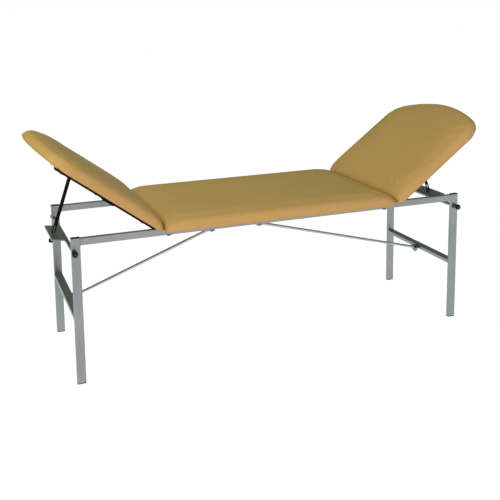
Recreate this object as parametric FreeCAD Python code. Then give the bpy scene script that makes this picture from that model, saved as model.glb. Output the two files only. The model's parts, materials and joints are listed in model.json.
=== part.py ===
"""Three-section examination table on a steel tube frame.

A padded seat section lies between two padded end sections, which swing up on hinges at the side rails.
Each end section is held by a strut that runs down through the slot of a lock plate. Tilting the plate
about its cross shaft frees the strut. Lengths are in millimetres. X runs along the table, Y across it
and Z up, with the origin on the floor below the middle of the table.
"""
import FreeCAD
import Part
import math
import os

from FreeCAD import Rotation, Vector

# Frame
frame_length = 1510.0
frame_width = 480.0
frame_height = 505.0
tube_wall = 1.5
tube_corner = 2.0
tube_bore_corner = 0.5
leg_wide = 30.0
leg_deep = 15.0
rail_high = 25.0
rail_deep = 15.0
low_bar_wide = 30.0
low_bar_high = 15.0
low_bar_level = 221.0
seat_bar_wide = 25.0
seat_bar_high = 20.0
seat_bar_inset = 50.0

# Plastic ends of the legs
plug_fit = 0.15
cap_thick = 2.5
cap_lip = 0.6
cap_insert = 12.0
cap_chamfer = 1.2
foot_thick = 3.0
foot_insert = 15.0

# Padding and boards
pad_overhang = 60.0
pad_thick = 40.0
pad_edge = 30.0
pad_low_edge = 4.0
pad_corner = 32.0
board_thick = 10.0
board_inset = 6.0
board_corner = 26.0
smallest_corner = 2.0
board_fit = 0.2
seat_length = 900.0
section_gap = 8.0
section_length = 508.0
section_end_depth = 146.0
section_end_corner = 105.0

# End section hinges and arms
hinge_beyond_seat = 9.0
section_angle = 36.5
arm_wide = 15.0
arm_high = 15.0
arm_side_gap = 3.0
arm_back = 8.0
arm_end_margin = 94.0
arm_end_slant = 12.0
hinge_pin_radius = 5.0
hinge_pin_fit = 0.05
hinge_washer_radius = 9.0
hinge_clip_radius = 8.0
hinge_clip_thick = 2.5
side_play = 0.3

# Straps, screws and bolts
strap_place = 200.0
strap_wide = 45.0
strap_thick = 3.0
screw_radius = 2.5
screw_head_radius = 4.5
screw_head_high = 2.4
screw_depth = 8.0
screw_inner_place = 60.0
screw_middle_place = 250.0
screw_outer_margin = 37.0
bolt_radius = 3.0
bolt_hole_radius = 3.3
bolt_head_flats = 10.0
bolt_head_high = 4.0
nut_high = 5.0
seat_bolt_inset = 26.0
seat_bolt_depth = 8.0

# Struts
strut_pivot_place = 309.0
strut_reach = 34.0
strut_reach_rise = 9.0
strut_wide = 12.0
strut_thick = 5.0
strut_eye_radius = 7.0
strut_length = 256.5
strut_slot_wide = 5.0
strut_slot_start = 200.0
strut_slot_end = 240.0
strut_pin_radius = 3.0
strut_pin_fit = 0.05
strut_knob_radius = 9.0
strut_knob_steps = 8
clevis_ear_thick = 3.0
clevis_ear_radius = 9.0
clevis_gap = 0.5
clevis_weld_reach = 3.0
clevis_pin_head = 2.0
clevis_pin_head_radius = 5.0
carrier_high = 15.0
carrier_wide = 15.0

# Lock shafts and plates
lock_beyond_leg = 6.0
lock_drop = 49.0
lock_tube_radius = 7.0
lock_tube_wall = 2.0
lock_axle_radius = 4.0
lock_axle_fit = 0.05
lock_axle_grip = 25.0
lock_washer_radius = 8.0
lock_washer_thick = 1.6
lock_plate_wide = 190.0
lock_plate_reach = 53.0
lock_plate_thick = 5.0
lock_plate_slope = 6.0
lock_plate_rise = 4.5
lock_plate_corner = 3.0
lock_slot_start = 17.5
lock_slot_end = 45.0
lock_slot_play = 1.5
lock_knob_radius = 10.5
lock_knob_thick = 12.0
lock_knob_hub_radius = 7.0
lock_knob_hub = 7.5
lock_knob_chamfer = 1.5
lock_knob_recess = 1.0
lock_knob_dome_radius = 9.0
lock_knob_face_radius = 6.5
lock_knob_dome = 4.0

# Braces
brace_radius = 5.0
brace_tip_wide = 14.0
brace_tip_thick = 4.0
brace_tip_length = 32.0
brace_lug_thick = 3.0
brace_lug_under = 13.0
brace_lug_drop = 17.0
brace_lug_foot = 10.0
brace_eye_out = 9.0
brace_eye_rise = 3.5
brace_eye_radius = 8.0
left_brace_place = -268.0
right_brace_place = -90.0

# Smallest step between two faces that must not meet
hair = 0.01

# Places that follow from the sizes above
pad_width = frame_width + 2 * pad_overhang
leg_place = (frame_length - leg_wide) / 2
leg_side = (frame_width - leg_deep) / 2
inner_side = frame_width / 2 - leg_deep
rail_side = (frame_width - rail_deep) / 2
rail_inner = frame_width / 2 - rail_deep
rail_end = frame_length / 2 - leg_wide
rail_base = frame_height - rail_high
arm_side = rail_inner - arm_side_gap - arm_wide / 2
arm_top = arm_high / 2
arm_length = section_gap + section_length - arm_end_margin
hinge_place = seat_length / 2 + hinge_beyond_seat
hinge_level = frame_height - arm_top
seat_bar_place = seat_length / 2 - seat_bar_inset
seat_bolt_place = seat_length / 2 - seat_bolt_inset
seat_bolt_length = rail_high + seat_bolt_depth
clevis_face = strut_pivot_place - clevis_ear_radius - clevis_weld_reach
lock_place = leg_place + lock_beyond_leg
lock_level = frame_height - lock_drop
lock_slot_wide = strut_thick + 2 * lock_slot_play
lock_knob_start = frame_width / 2 + 2 * side_play + lock_washer_thick
UP = Vector(0, 0, 1)
ACROSS = Vector(0, 1, 0)
ALONG = Vector(1, 0, 0)

nodes = {}


def box(x_range, y_range, z_range):
    """Solid box between the given limits along each axis."""
    low = Vector(x_range[0], y_range[0], z_range[0])
    return Part.makeBox(x_range[1] - x_range[0], y_range[1] - y_range[0], z_range[1] - z_range[0], low)


def bar(radius, length, start, direction):
    """Round bar that starts at a point and runs in a direction."""
    return Part.makeCylinder(radius, length, start, direction)


def ring(outer, inner, length, start, direction):
    """Round tube or washer."""
    return bar(outer, length, start, direction).cut(bar(inner, length, start, direction))


def circle_arc(centre, radius, start, end):
    """Arc in the XY plane between two angles in degrees, counter-clockwise."""
    circle = Part.Circle(centre, UP, radius)
    return Part.Arc(circle, math.radians(start), math.radians(end)).toShape()


def closed_wire(arcs):
    """Wire through the arcs in order, with straight lines between them."""
    edges = []
    for index, arc in enumerate(arcs):
        following = arcs[(index + 1) % len(arcs)]
        edges.append(arc)
        start = arc.Vertexes[-1].Point
        end = following.Vertexes[0].Point
        if start.distanceToPoint(end) > 1e-6:
            edges.append(Part.makeLine(start, end))
    return Part.Wire(edges)


def rounded_rectangle(width, height, corner):
    """Rounded rectangle in the XY plane, centred on the origin."""
    arcs = []
    for turn, (side_x, side_y) in enumerate(((1, 1), (-1, 1), (-1, -1), (1, -1))):
        centre = Vector(side_x * (width / 2 - corner), side_y * (height / 2 - corner), 0)
        arcs.append(circle_arc(centre, corner, 90 * turn, 90 * turn + 90))
    return closed_wire(arcs)


def slab(wire, thick):
    """Solid of a wire in the XY plane, raised along Z."""
    return Part.Face(wire).extrude(UP * thick)


def rectangular_tube(width, height, length):
    """Square-cornered steel tube along Z, from z = 0, with width along X and height along Y."""
    outer = slab(rounded_rectangle(width, height, tube_corner), length)
    inner = rounded_rectangle(width - 2 * tube_wall, height - 2 * tube_wall, tube_bore_corner)
    return outer.cut(slab(inner, length))


def moved(shape, turn, place):
    """Copy of a shape, turned about the origin and then carried to a place."""
    copy = shape.copy()
    copy.Placement = FreeCAD.Placement(place, turn).multiply(copy.Placement)
    return copy


def tube_along(width, height, length, place):
    """Tube along X from a place, with width across and height up."""
    return moved(rectangular_tube(width, height, length), Rotation(Vector(1, 1, 1), 120), place)


def tube_across(width, height, length, place):
    """Tube along Y from a place, with width along X and height up."""
    return moved(rectangular_tube(width, height, length), Rotation(ALONG, -90), place)


def mirrored(shape):
    """The same shape at the other end of the table."""
    return shape.mirror(Vector(0, 0, 0), ALONG)


def at_end(shape, side):
    """A shape built at the right end, kept there or mirrored to the left end."""
    return shape if side > 0 else mirrored(shape)


def raised(shape):
    """A section part, from its flat place about the hinge to its raised place on the right end."""
    return moved(shape, Rotation(ACROSS, -section_angle), Vector(hinge_place, 0, hinge_level))


def hexagon(flats, high, place, direction):
    """Hexagon head or nut that stands on a place."""
    corner = flats / 2 / math.cos(math.radians(30))
    points = []
    for turn in range(7):
        angle = math.radians(60 * turn)
        points.append(Vector(corner * math.cos(angle), corner * math.sin(angle), 0))
    solid = slab(Part.makePolygon(points), high)
    return moved(solid, Rotation(UP, direction), place)


def turned(profile, place, direction):
    """Solid of revolution: radius and height pairs, closed along the axis, standing on a place."""
    points = [Vector(radius, 0, height) for radius, height in profile]
    points.append(points[0])
    solid = Part.Face(Part.makePolygon(points)).revolve(Vector(0, 0, 0), UP, 360)
    return moved(solid, Rotation(UP, direction), place)


def make_legs():
    """Four rectangular legs, drilled for the axles of the lock shafts."""
    names = {(-1, -1): "leg_front_left", (1, -1): "leg_front_right", (-1, 1): "leg_rear_left", (1, 1): "leg_rear_right"}
    for (end, side), name in names.items():
        leg = rectangular_tube(leg_wide, leg_deep, frame_height - foot_thick)
        leg.translate(Vector(end * leg_place, side * leg_side, foot_thick))
        hole_start = Vector(end * lock_place, side * leg_side - leg_deep, lock_level)
        nodes[name] = leg.cut(bar(lock_axle_radius + lock_axle_fit, 2 * leg_deep, hole_start, ACROSS))


def make_leg_ends():
    """Caps on top of the legs and plugs under them, each with a part that enters the tube."""
    caps = []
    feet = []
    insert_wide = leg_wide - 2 * (tube_wall + plug_fit)
    insert_deep = leg_deep - 2 * (tube_wall + plug_fit)
    insert = rounded_rectangle(insert_wide, insert_deep, tube_bore_corner)
    cap_outline = rounded_rectangle(leg_wide + 2 * cap_lip, leg_deep + 2 * cap_lip, tube_corner + cap_lip)
    foot_outline = rounded_rectangle(leg_wide, leg_deep, tube_corner)
    for end in (-1, 1):
        for side in (-1, 1):
            top = Vector(end * leg_place, side * leg_side, frame_height)
            cap = slab(cap_outline, cap_thick)
            upper_edges = [edge for edge in cap.Edges if edge.BoundBox.ZMin > cap_thick - hair]
            cap = cap.makeChamfer(cap_chamfer, upper_edges)
            inside = slab(insert, cap_insert)
            inside.translate(Vector(0, 0, -cap_insert))
            cap = cap.fuse(inside)
            cap.translate(top)
            caps.append(cap.removeSplitter())
            foot = slab(foot_outline, foot_thick)
            inside = slab(insert, foot_insert)
            inside.translate(Vector(0, 0, foot_thick))
            foot = foot.fuse(inside)
            foot.translate(Vector(end * leg_place, side * leg_side, 0))
            feet.append(foot.removeSplitter())
    nodes["leg_caps"] = Part.makeCompound(caps)
    nodes["foot_plugs"] = Part.makeCompound(feet)


def make_rails():
    """Side rails between the legs, drilled for the seat bolts and the front one for the braces."""
    for side, name in ((-1, "side_rail_front"), (1, "side_rail_rear")):
        place = Vector(-rail_end, side * rail_side, rail_base + rail_high / 2)
        rail = tube_along(rail_deep, rail_high, 2 * rail_end, place)
        for end in (-1, 1):
            hole = Vector(end * seat_bolt_place, side * rail_side, rail_base)
            rail = rail.cut(bar(bolt_hole_radius, rail_high, hole, UP))
        if side < 0:
            for place_x in (left_brace_place, right_brace_place):
                hole = Vector(place_x, side * rail_side, rail_base)
                rail = rail.cut(bar(bolt_hole_radius, 2 * tube_wall, hole, UP))
        nodes[name] = rail


def make_cross_bars():
    """Low cross bars between the legs, and cross bars between the rails under the seat."""
    for end, word in ((-1, "left"), (1, "right")):
        low = Vector(end * leg_place, -inner_side, low_bar_level + low_bar_high / 2)
        nodes["low_cross_bar_" + word] = tube_across(low_bar_wide, low_bar_high, 2 * inner_side, low)
        seat = Vector(end * seat_bar_place, -rail_inner, frame_height - seat_bar_high / 2)
        nodes["seat_cross_bar_" + word] = tube_across(seat_bar_wide, seat_bar_high, 2 * rail_inner, seat)


def make_braces():
    """Two round braces from the low cross bars to the underside of the front rail."""
    lugs = []
    bolts = []
    eye_level = low_bar_level + brace_eye_rise
    eye_place = leg_place - low_bar_wide / 2 - brace_eye_out
    flat_side = -(brace_lug_thick + brace_tip_thick) / 2
    tip_level = rail_base - brace_tip_thick / 2
    for end, word, bolt_x in ((-1, "left", left_brace_place), (1, "right", right_brace_place)):
        eye = Vector(end * eye_place, flat_side, eye_level)
        high = Vector(bolt_x, -rail_side, tip_level)
        bend = high + Vector(end * (brace_tip_length - brace_tip_wide), 0, 0)
        run = bend - eye
        lower_end = eye + run * (brace_tip_wide / run.Length)
        rod = bar(brace_radius, (bend - lower_end).Length, lower_end, run)
        rod = rod.fuse(Part.makeSphere(brace_radius, lower_end))
        rod = rod.fuse(Part.makeSphere(brace_tip_thick / 2, bend))
        tip = flat_tip(brace_tip_length, Vector(0, 0, 0))
        tip_middle = (high.x + bend.x) / 2 - end * brace_tip_wide / 4
        tip.translate(Vector(tip_middle, -rail_side, rail_base - brace_tip_thick))
        lower_flat = flat_tip(2 * brace_tip_wide, Vector(brace_tip_wide / 2, 0, -brace_tip_thick / 2))
        lower_flat = moved(lower_flat, Rotation(ALONG, 90), Vector(0, 0, 0))
        pitch = math.degrees(math.atan2(run.z, abs(run.x)))
        lower_flat = moved(lower_flat, Rotation(ACROSS, -pitch), Vector(0, 0, 0))
        if end > 0:
            lower_flat = mirrored(lower_flat)
        lower_flat.translate(eye)
        above = box((-frame_length, frame_length), (-frame_width, frame_width), (rail_base, frame_height))
        behind = box((eye.x - brace_tip_length, eye.x + brace_tip_length), (-brace_lug_thick / 2, brace_tip_wide),
                     (0, rail_base))
        brace = rod.cut(above).fuse(tip).fuse(lower_flat).cut(behind)
        brace = brace.cut(bar(bolt_hole_radius, 2 * brace_tip_wide, high - UP * brace_tip_wide, UP))
        brace = brace.cut(bar(bolt_hole_radius, 2 * brace_tip_wide, eye - ACROSS * brace_tip_wide, ACROSS))
        nodes["brace_" + word] = brace.removeSplitter()
        lugs.append(at_end(brace_lug(), end))
        bolts.append(rail_bolt(high))
        bolts.append(lug_bolt(eye))
    nodes["brace_lugs"] = Part.makeCompound(lugs)
    nodes["brace_bolts"] = Part.makeCompound(bolts)


def flat_tip(length, middle):
    """Flattened end of a brace, lying level with round ends."""
    tip = slab(rounded_rectangle(length, brace_tip_wide, brace_tip_wide / 2 - hair), brace_tip_thick)
    tip.translate(middle)
    return tip


def brace_lug():
    """Gusset welded to the lower inner corner of the right low cross bar, with an eye for the brace."""
    corner_x = leg_place - low_bar_wide / 2
    eye = Vector(corner_x - brace_eye_out, 0, low_bar_level + brace_eye_rise)
    top = eye.z + brace_eye_radius
    low = low_bar_level - brace_lug_drop
    outside = Vector(eye.x - brace_eye_radius, 0, eye.z)
    over = Vector(eye.x, 0, top)
    rounding = Part.Arc(over, eye + Vector(-1, 0, 1) * (brace_eye_radius * math.sqrt(0.5)), outside).toShape()
    corners = [
        outside,
        Vector(eye.x, 0, low),
        Vector(eye.x + brace_lug_foot, 0, low),
        Vector(corner_x + brace_lug_under, 0, low_bar_level),
        Vector(corner_x, 0, low_bar_level),
        Vector(corner_x, 0, top),
        over,
    ]
    edges = [rounding]
    edges += [Part.makeLine(first, second) for first, second in zip(corners, corners[1:])]
    lug = Part.Face(Part.Wire(edges)).extrude(ACROSS * brace_lug_thick)
    lug.translate(ACROSS * (-brace_lug_thick / 2))
    hole = eye - ACROSS * brace_lug_thick
    return lug.cut(bar(bolt_hole_radius, 2 * brace_lug_thick, hole, ACROSS))


def rail_bolt(place):
    """Bolt up through a brace's upper tip and the bottom wall of the rail, with its nut inside."""
    under = place - UP * (brace_tip_thick / 2)
    head = hexagon(bolt_head_flats, bolt_head_high, under - UP * bolt_head_high, UP)
    shank_length = brace_tip_thick + tube_wall + nut_high
    shank = bar(bolt_radius, shank_length, under, UP)
    nut = hexagon(bolt_head_flats, nut_high, under + UP * (brace_tip_thick + tube_wall), UP)
    return head.fuse(shank).fuse(nut).removeSplitter()


def lug_bolt(eye):
    """Bolt across a brace's lower tip and its lug, with a nut behind the lug."""
    front = eye - ACROSS * (brace_tip_thick / 2)
    grip = brace_tip_thick + brace_lug_thick
    head = hexagon(bolt_head_flats, bolt_head_high, front, -ACROSS)
    shank = bar(bolt_radius, grip + nut_high, front, ACROSS)
    nut = hexagon(bolt_head_flats, nut_high, front + ACROSS * grip, ACROSS)
    return head.fuse(shank).fuse(nut).removeSplitter()


def softened(pad):
    """A pad with its upper edge well rounded and its lower edge slightly rounded."""
    top = pad.BoundBox.ZMax
    base = pad.BoundBox.ZMin
    upper = [edge for edge in pad.Edges if edge.BoundBox.ZMin > top - hair]
    pad = pad.makeFillet(pad_edge, upper)
    lower = [edge for edge in pad.Edges if edge.BoundBox.ZMax < base + hair]
    return pad.makeFillet(pad_low_edge, lower)


def make_seat():
    """Seat board, its padding and the bolts that hold it to the rails."""
    base = frame_height
    board = slab(rounded_rectangle(seat_length - 2 * board_inset, pad_width - 2 * board_inset, board_corner), board_thick)
    board.translate(Vector(0, 0, base))
    pad = slab(rounded_rectangle(seat_length, pad_width, pad_corner), pad_thick)
    pad.translate(Vector(0, 0, base))
    pad = softened(pad)
    pocket = slab(rounded_rectangle(seat_length - 2 * board_inset + 2 * board_fit,
                                    pad_width - 2 * board_inset + 2 * board_fit, board_corner), board_thick)
    pocket.translate(Vector(0, 0, base))
    bolts = []
    for end in (-1, 1):
        for side in (-1, 1):
            under = Vector(end * seat_bolt_place, side * rail_side, rail_base)
            head = hexagon(bolt_head_flats, bolt_head_high, under - UP * bolt_head_high, UP)
            bolts.append(head.fuse(bar(bolt_radius, seat_bolt_length, under, UP)).removeSplitter())
            board = board.cut(bar(bolt_radius, seat_bolt_depth, under + UP * rail_high, UP))
    nodes["seat_board"] = board
    nodes["seat_pad"] = pad.cut(pocket)
    nodes["seat_bolts"] = Part.makeCompound(bolts)


def section_outline(inset):
    """Outline of an end section: straight sides, small inner corners and a bowed outer end."""
    half = pad_width / 2 - inset
    start = section_gap + inset
    end = section_gap + section_length - inset
    depth = section_end_depth - inset
    corner = section_end_corner - inset
    inner_corner = max(pad_corner - inset, smallest_corner)
    rise = half - corner
    crown = (depth ** 2 + rise ** 2 - corner ** 2) / (2 * (depth - corner))
    crown_centre = Vector(end - crown, 0, 0)
    upper = Vector(end - depth, rise, 0)
    lower = Vector(end - depth, -rise, 0)
    swing = math.degrees(math.atan2(rise, upper.x - crown_centre.x))
    arcs = [
        circle_arc(Vector(start + inner_corner, half - inner_corner, 0), inner_corner, 90, 180),
        circle_arc(Vector(start + inner_corner, inner_corner - half, 0), inner_corner, 180, 270),
        circle_arc(lower, corner, 270, 360 - swing),
        circle_arc(crown_centre, crown, -swing, swing),
        circle_arc(upper, corner, swing, 90),
    ]
    return closed_wire(arcs)


def make_sections():
    """The two end sections: board, padding, arms, strap, strut carrier and screws."""
    board = slab(section_outline(board_inset), board_thick)
    board.translate(Vector(0, 0, arm_top))
    pad = slab(section_outline(0), pad_thick)
    pad.translate(Vector(0, 0, arm_top))
    pad = softened(pad)
    pocket = slab(section_outline(board_inset - board_fit), board_thick)
    pocket.translate(Vector(0, 0, arm_top))
    pad = pad.cut(pocket)
    strap = box((strap_place - strap_wide / 2, strap_place + strap_wide / 2),
                (-arm_side - arm_wide / 2, arm_side + arm_wide / 2), (-arm_top - strap_thick, -arm_top))
    screws = []
    arms = {}
    for side, word in ((-1, "front"), (1, "rear")):
        arm = section_arm(side)
        for screw_place in (screw_inner_place, screw_middle_place, arm_length - screw_outer_margin):
            place = Vector(screw_place, side * arm_side, -arm_top)
            head = bar(screw_head_radius, screw_head_high, place - UP * screw_head_high, UP)
            reach = arm_high + screw_depth
            screws.append(head.fuse(bar(screw_radius, reach, place, UP)).removeSplitter())
            arm = arm.cut(bar(screw_radius, arm_high, place, UP))
            board = board.cut(bar(screw_radius, screw_depth, place + UP * arm_high, UP))
        arms[word] = arm
    clevis = clevis_ears()
    carrier = strut_carrier()
    for end, word in ((-1, "left"), (1, "right")):
        nodes["section_board_" + word] = at_end(raised(board), end)
        nodes["section_pad_" + word] = at_end(raised(pad), end)
        nodes["section_strap_" + word] = at_end(raised(strap), end)
        nodes["section_screws_" + word] = at_end(raised(Part.makeCompound(screws)), end)
        nodes["strut_carrier_" + word] = at_end(raised(carrier), end)
        nodes["strut_clevis_" + word] = at_end(raised(clevis), end)
        for arm_word, arm in arms.items():
            nodes["section_arm_" + arm_word + "_" + word] = at_end(raised(arm), end)


def section_arm(side):
    """Tube under a section's board, with a hinge hole and an outer end cut on the slant."""
    start = Vector(-arm_back, side * arm_side, 0)
    arm = tube_along(arm_wide, arm_high, arm_back + arm_length, start)
    hole = Vector(0, side * arm_side - arm_wide, 0)
    arm = arm.cut(bar(hinge_pin_radius + hinge_pin_fit, 2 * arm_wide, hole, ACROSS))
    slant = [Vector(arm_length, 0, arm_top), Vector(arm_length, 0, -arm_top),
             Vector(arm_length - arm_end_slant, 0, -arm_top), Vector(arm_length, 0, arm_top)]
    wedge = Part.Face(Part.makePolygon(slant)).extrude(ACROSS * 2 * arm_wide)
    wedge.translate(Vector(0, side * arm_side - arm_wide, 0))
    return arm.cut(wedge)


def strut_carrier():
    """Cross tube between the arms that carries the strut's clevis."""
    length = 2 * (arm_side - arm_wide / 2)
    place = Vector(clevis_face - carrier_wide / 2, -length / 2, 0)
    return tube_across(carrier_wide, carrier_high, length, place)


def clevis_ears():
    """Two ears about the strut's eye, welded to the carrier."""
    ears = []
    inner = strut_thick / 2 + clevis_gap
    for side in (-1, 1):
        start_y = inner if side > 0 else -inner - clevis_ear_thick
        ear = bar(clevis_ear_radius, clevis_ear_thick, Vector(strut_pivot_place, start_y, 0), ACROSS)
        plate = box((clevis_face, strut_pivot_place), (start_y, start_y + clevis_ear_thick), (-arm_top, arm_top))
        ear = ear.fuse(plate)
        above = box((clevis_face, strut_pivot_place + 2 * clevis_ear_radius), (start_y, start_y + clevis_ear_thick),
                    (arm_top, 2 * arm_high))
        hole = Vector(strut_pivot_place, start_y - 1, 0)
        ear = ear.cut(above).cut(bar(strut_pin_radius + strut_pin_fit, clevis_ear_thick + 2, hole, ACROSS))
        ears.append(ear.removeSplitter())
    return Part.makeCompound(ears)


def make_hinges():
    """Hinge pins on the inner faces of the rails, with a washer and a clip on each."""
    pin_length = arm_side_gap + arm_wide + side_play + hinge_clip_thick
    for end, word in ((-1, "left"), (1, "right")):
        pins = []
        washers = []
        clips = []
        for side in (-1, 1):
            root = Vector(end * hinge_place, side * rail_inner, hinge_level)
            inward = ACROSS * -side
            pins.append(bar(hinge_pin_radius, pin_length, root, inward))
            washer_thick = arm_side_gap - side_play
            washers.append(ring(hinge_washer_radius, hinge_pin_radius, washer_thick, root, inward))
            clip_start = root + inward * (arm_side_gap + arm_wide + side_play)
            clips.append(ring(hinge_clip_radius, hinge_pin_radius, hinge_clip_thick, clip_start, inward))
        below_board = box((-frame_length, frame_length), (-frame_width, frame_width), (0, frame_height - side_play))
        nodes["hinge_pins_" + word] = Part.makeCompound(pins)
        nodes["hinge_washers_" + word] = Part.makeCompound([washer.common(below_board) for washer in washers])
        nodes["hinge_clips_" + word] = Part.makeCompound([clip.common(below_board) for clip in clips])


def strut_pivot():
    """Centre of the strut's pivot on the right end, with the section raised."""
    angle = math.radians(section_angle)
    return Vector(hinge_place + strut_pivot_place * math.cos(angle), 0,
                  hinge_level + strut_pivot_place * math.sin(angle))


def strut_turn():
    """Turn that leans a strut, built straight down, out to the slot of the lock plate."""
    pivot = strut_pivot()
    run = lock_place + strut_reach - pivot.x
    drop = pivot.z - lock_level - strut_reach_rise
    return Rotation(ACROSS, -math.degrees(math.atan2(run, drop)))


def make_struts():
    """Slotted struts, their pivot pins and the knobs on their lower ends."""
    half = strut_thick / 2
    eye = bar(strut_eye_radius, strut_thick, Vector(0, -half, 0), ACROSS)
    blade = box((-strut_wide / 2, strut_wide / 2), (-half, half), (-strut_length, 0))
    strut = eye.fuse(blade).removeSplitter()
    strut = strut.cut(bar(strut_pin_radius + strut_pin_fit, 2 * strut_thick, Vector(0, -strut_thick, 0), ACROSS))
    slot_half = strut_slot_wide / 2
    slot = box((-slot_half, slot_half), (-strut_thick, strut_thick),
               (-strut_slot_end + slot_half, -strut_slot_start - slot_half))
    for depth in (strut_slot_start + slot_half, strut_slot_end - slot_half):
        slot = slot.fuse(bar(slot_half, 2 * strut_thick, Vector(0, -strut_thick, -depth), ACROSS))
    strut = strut.cut(slot)
    knob = strut_knob().cut(box((-strut_wide / 2, strut_wide / 2), (-half, half), (-strut_length, 0)))
    pin_half = strut_thick / 2 + clevis_gap + clevis_ear_thick
    pin = bar(strut_pin_radius, 2 * pin_half, Vector(0, -pin_half, 0), ACROSS)
    for side in (-1, 1):
        head = bar(clevis_pin_head_radius, clevis_pin_head, Vector(0, side * pin_half, 0), ACROSS * side)
        pin = pin.fuse(head)
    pin = pin.removeSplitter()
    pivot = strut_pivot()
    for end, word in ((-1, "left"), (1, "right")):
        nodes["strut_" + word] = at_end(moved(strut, strut_turn(), pivot), end)
        nodes["strut_knob_" + word] = at_end(moved(knob, strut_turn(), pivot), end)
        nodes["strut_pin_" + word] = at_end(moved(pin, strut_turn(), pivot), end)


def strut_knob():
    """Ball on the lower end of a strut, turned in short straight steps."""
    profile = []
    for step in range(strut_knob_steps + 1):
        angle = math.pi * step / strut_knob_steps - math.pi / 2
        profile.append((strut_knob_radius * math.cos(angle), strut_knob_radius * math.sin(angle)))
    return turned(profile, Vector(0, 0, -strut_length), UP)


def lock_knob(side):
    """Round knob with a hub against the leg's washer, a domed face and a bore for the axle."""
    face = lock_knob_hub + lock_knob_thick
    profile = [
        (lock_axle_radius, 0.0),
        (lock_knob_hub_radius, 0.0),
        (lock_knob_hub_radius, lock_knob_hub),
        (lock_knob_radius - lock_knob_chamfer, lock_knob_hub),
        (lock_knob_radius, lock_knob_hub + lock_knob_chamfer),
        (lock_knob_radius, face - lock_knob_dome),
        (lock_knob_dome_radius, face - lock_knob_chamfer),
        (lock_knob_face_radius, face),
        (lock_axle_radius + lock_knob_chamfer, face - lock_knob_recess),
        (lock_axle_radius, face - lock_knob_recess),
    ]
    return turned(profile, Vector(lock_place, side * lock_knob_start, lock_level), ACROSS * side)


def lock_plate():
    """Plate whose inner edge is welded along the lock shaft, with the slot for the strut."""
    low = lock_plate_rise - lock_plate_thick / 2
    seam = math.sqrt(lock_tube_radius ** 2 - low ** 2)
    plate = slab(rounded_rectangle(lock_plate_reach - seam, lock_plate_wide, lock_plate_corner), lock_plate_thick)
    plate.translate(Vector((lock_plate_reach + seam) / 2, 0, 0))
    slot = box((lock_slot_start, lock_slot_end), (-lock_slot_wide / 2, lock_slot_wide / 2), (0, lock_plate_thick))
    plate = plate.cut(slot)
    return moved(plate, Rotation(ACROSS, -lock_plate_slope), Vector(lock_place, 0, lock_level + low))


def make_locks():
    """Lock shafts between the legs: tube, plate, axles, washers and knobs."""
    tube_end = inner_side - lock_washer_thick - 2 * side_play
    tube = ring(lock_tube_radius, lock_tube_radius - lock_tube_wall, 2 * tube_end,
                Vector(lock_place, -tube_end, lock_level), ACROSS)
    axles = []
    washers = []
    for side in (-1, 1):
        out = ACROSS * side
        inner = Vector(lock_place, side * (tube_end - lock_axle_grip), lock_level)
        grip = bar(lock_tube_radius - lock_tube_wall, lock_axle_grip, inner, out)
        reach = lock_knob_start + lock_knob_hub + lock_knob_thick - lock_knob_recess - tube_end
        shank = bar(lock_axle_radius, reach, Vector(lock_place, side * tube_end, lock_level), out)
        axles.append(grip.fuse(shank).removeSplitter())
        for start in (tube_end + side_play, frame_width / 2 + side_play):
            place = Vector(lock_place, side * start, lock_level)
            washers.append(ring(lock_washer_radius, lock_axle_radius, lock_washer_thick, place, out))
    plate = lock_plate()
    for end, word in ((-1, "left"), (1, "right")):
        nodes["lock_tube_" + word] = at_end(tube, end)
        nodes["lock_plate_" + word] = at_end(plate, end)
        nodes["lock_axles_" + word] = at_end(Part.makeCompound(axles), end)
        nodes["lock_washers_" + word] = at_end(Part.makeCompound(washers), end)
        nodes["lock_knob_front_" + word] = at_end(lock_knob(-1), end)
        nodes["lock_knob_rear_" + word] = at_end(lock_knob(1), end)


def export_nodes():
    """Write one file per node and print a short check of each."""
    os.makedirs("parts", exist_ok=True)
    for name, shape in nodes.items():
        bounds = shape.BoundBox
        state = "valid" if shape.isValid() and all(solid.isClosed() for solid in shape.Solids) else "FAULTY"
        print(f"{name:26s} {state} solids {len(shape.Solids)} volume {shape.Volume:11.0f} "
              f"x {bounds.XMin:7.1f} {bounds.XMax:7.1f} y {bounds.YMin:7.1f} {bounds.YMax:7.1f} "
              f"z {bounds.ZMin:6.1f} {bounds.ZMax:6.1f}")
        shape.exportStep(os.path.join("parts", name + ".step"))


make_legs()
make_leg_ends()
make_rails()
make_cross_bars()
make_braces()
make_seat()
make_sections()
make_hinges()
make_struts()
make_locks()
export_nodes()
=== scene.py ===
"""Looks of the examination table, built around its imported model.

Three vinyl pads, each on a plywood board, lie on a painted tube frame. The end sections swing up on black
arms, and each is held by a slotted strut in a lock plate. Lengths are in metres, in the model's own frame:
X along the table, Y towards the rear side, Z up, with the origin on the floor.
"""

import json
import logging
import math
from dataclasses import dataclass, field
from enum import Enum

import bmesh
import bpy
import numpy as np
from mathutils import Matrix, Vector


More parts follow.
